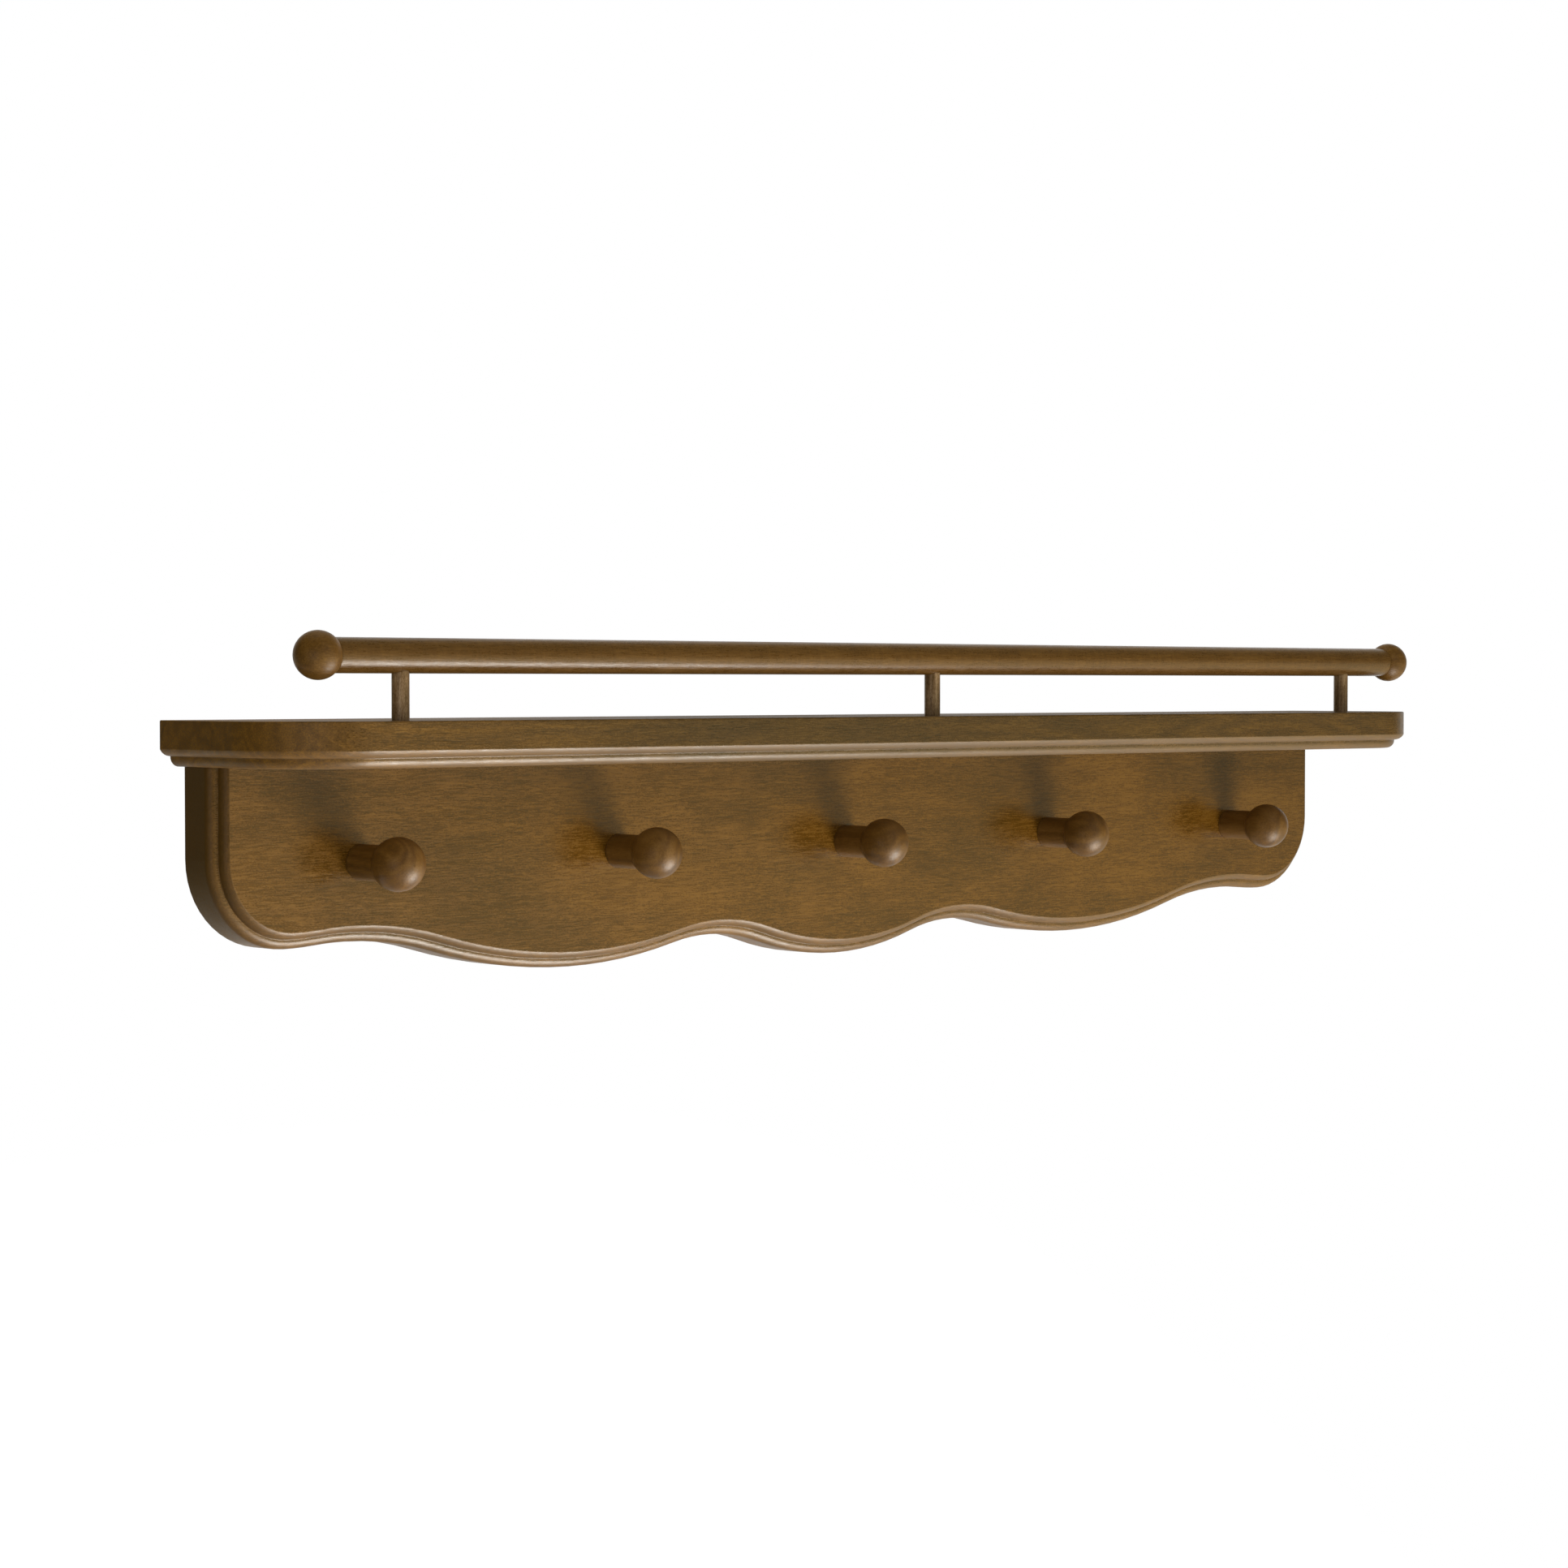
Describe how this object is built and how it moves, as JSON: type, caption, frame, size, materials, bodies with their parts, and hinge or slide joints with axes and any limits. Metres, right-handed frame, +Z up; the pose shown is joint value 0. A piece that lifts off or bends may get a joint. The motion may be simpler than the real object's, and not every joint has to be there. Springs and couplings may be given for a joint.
{
  "type": "wall shelf with pegs",
  "caption": "Wooden wall shelf with rounded front corners, a gallery rail on posts above and turned ball pegs on a scalloped, moulded back board below.",
  "frame": {"origin": "on the wall plane, midway between the round entries of the two keyhole plates", "axes": "+X along the shelf to the viewer's right, +Y into the wall, +Z up"},
  "size_m": [0.965, 0.126, 0.1963],
  "materials": {
    "stained_wood": "satin walnut stain",
    "plain_wood": "bare",
    "steel": "zinc plated"
  },
  "bodies": {
    "root": {"shelf_board": "stained_wood", "back_board": "stained_wood", "peg_far_left": "stained_wood", "peg_left": "stained_wood", "peg_middle": "stained_wood", "peg_right": "stained_wood", "peg_far_right": "stained_wood", "rail": "stained_wood", "finial_left": "stained_wood", "finial_right": "stained_wood", "post_left": "stained_wood", "post_middle": "stained_wood", "post_right": "stained_wood", "shelf_dowels": "plain_wood", "keyhole_hanger_left": "steel", "keyhole_hanger_right": "steel", "hanger_screws": "steel"}
  },
  "joints": []
}
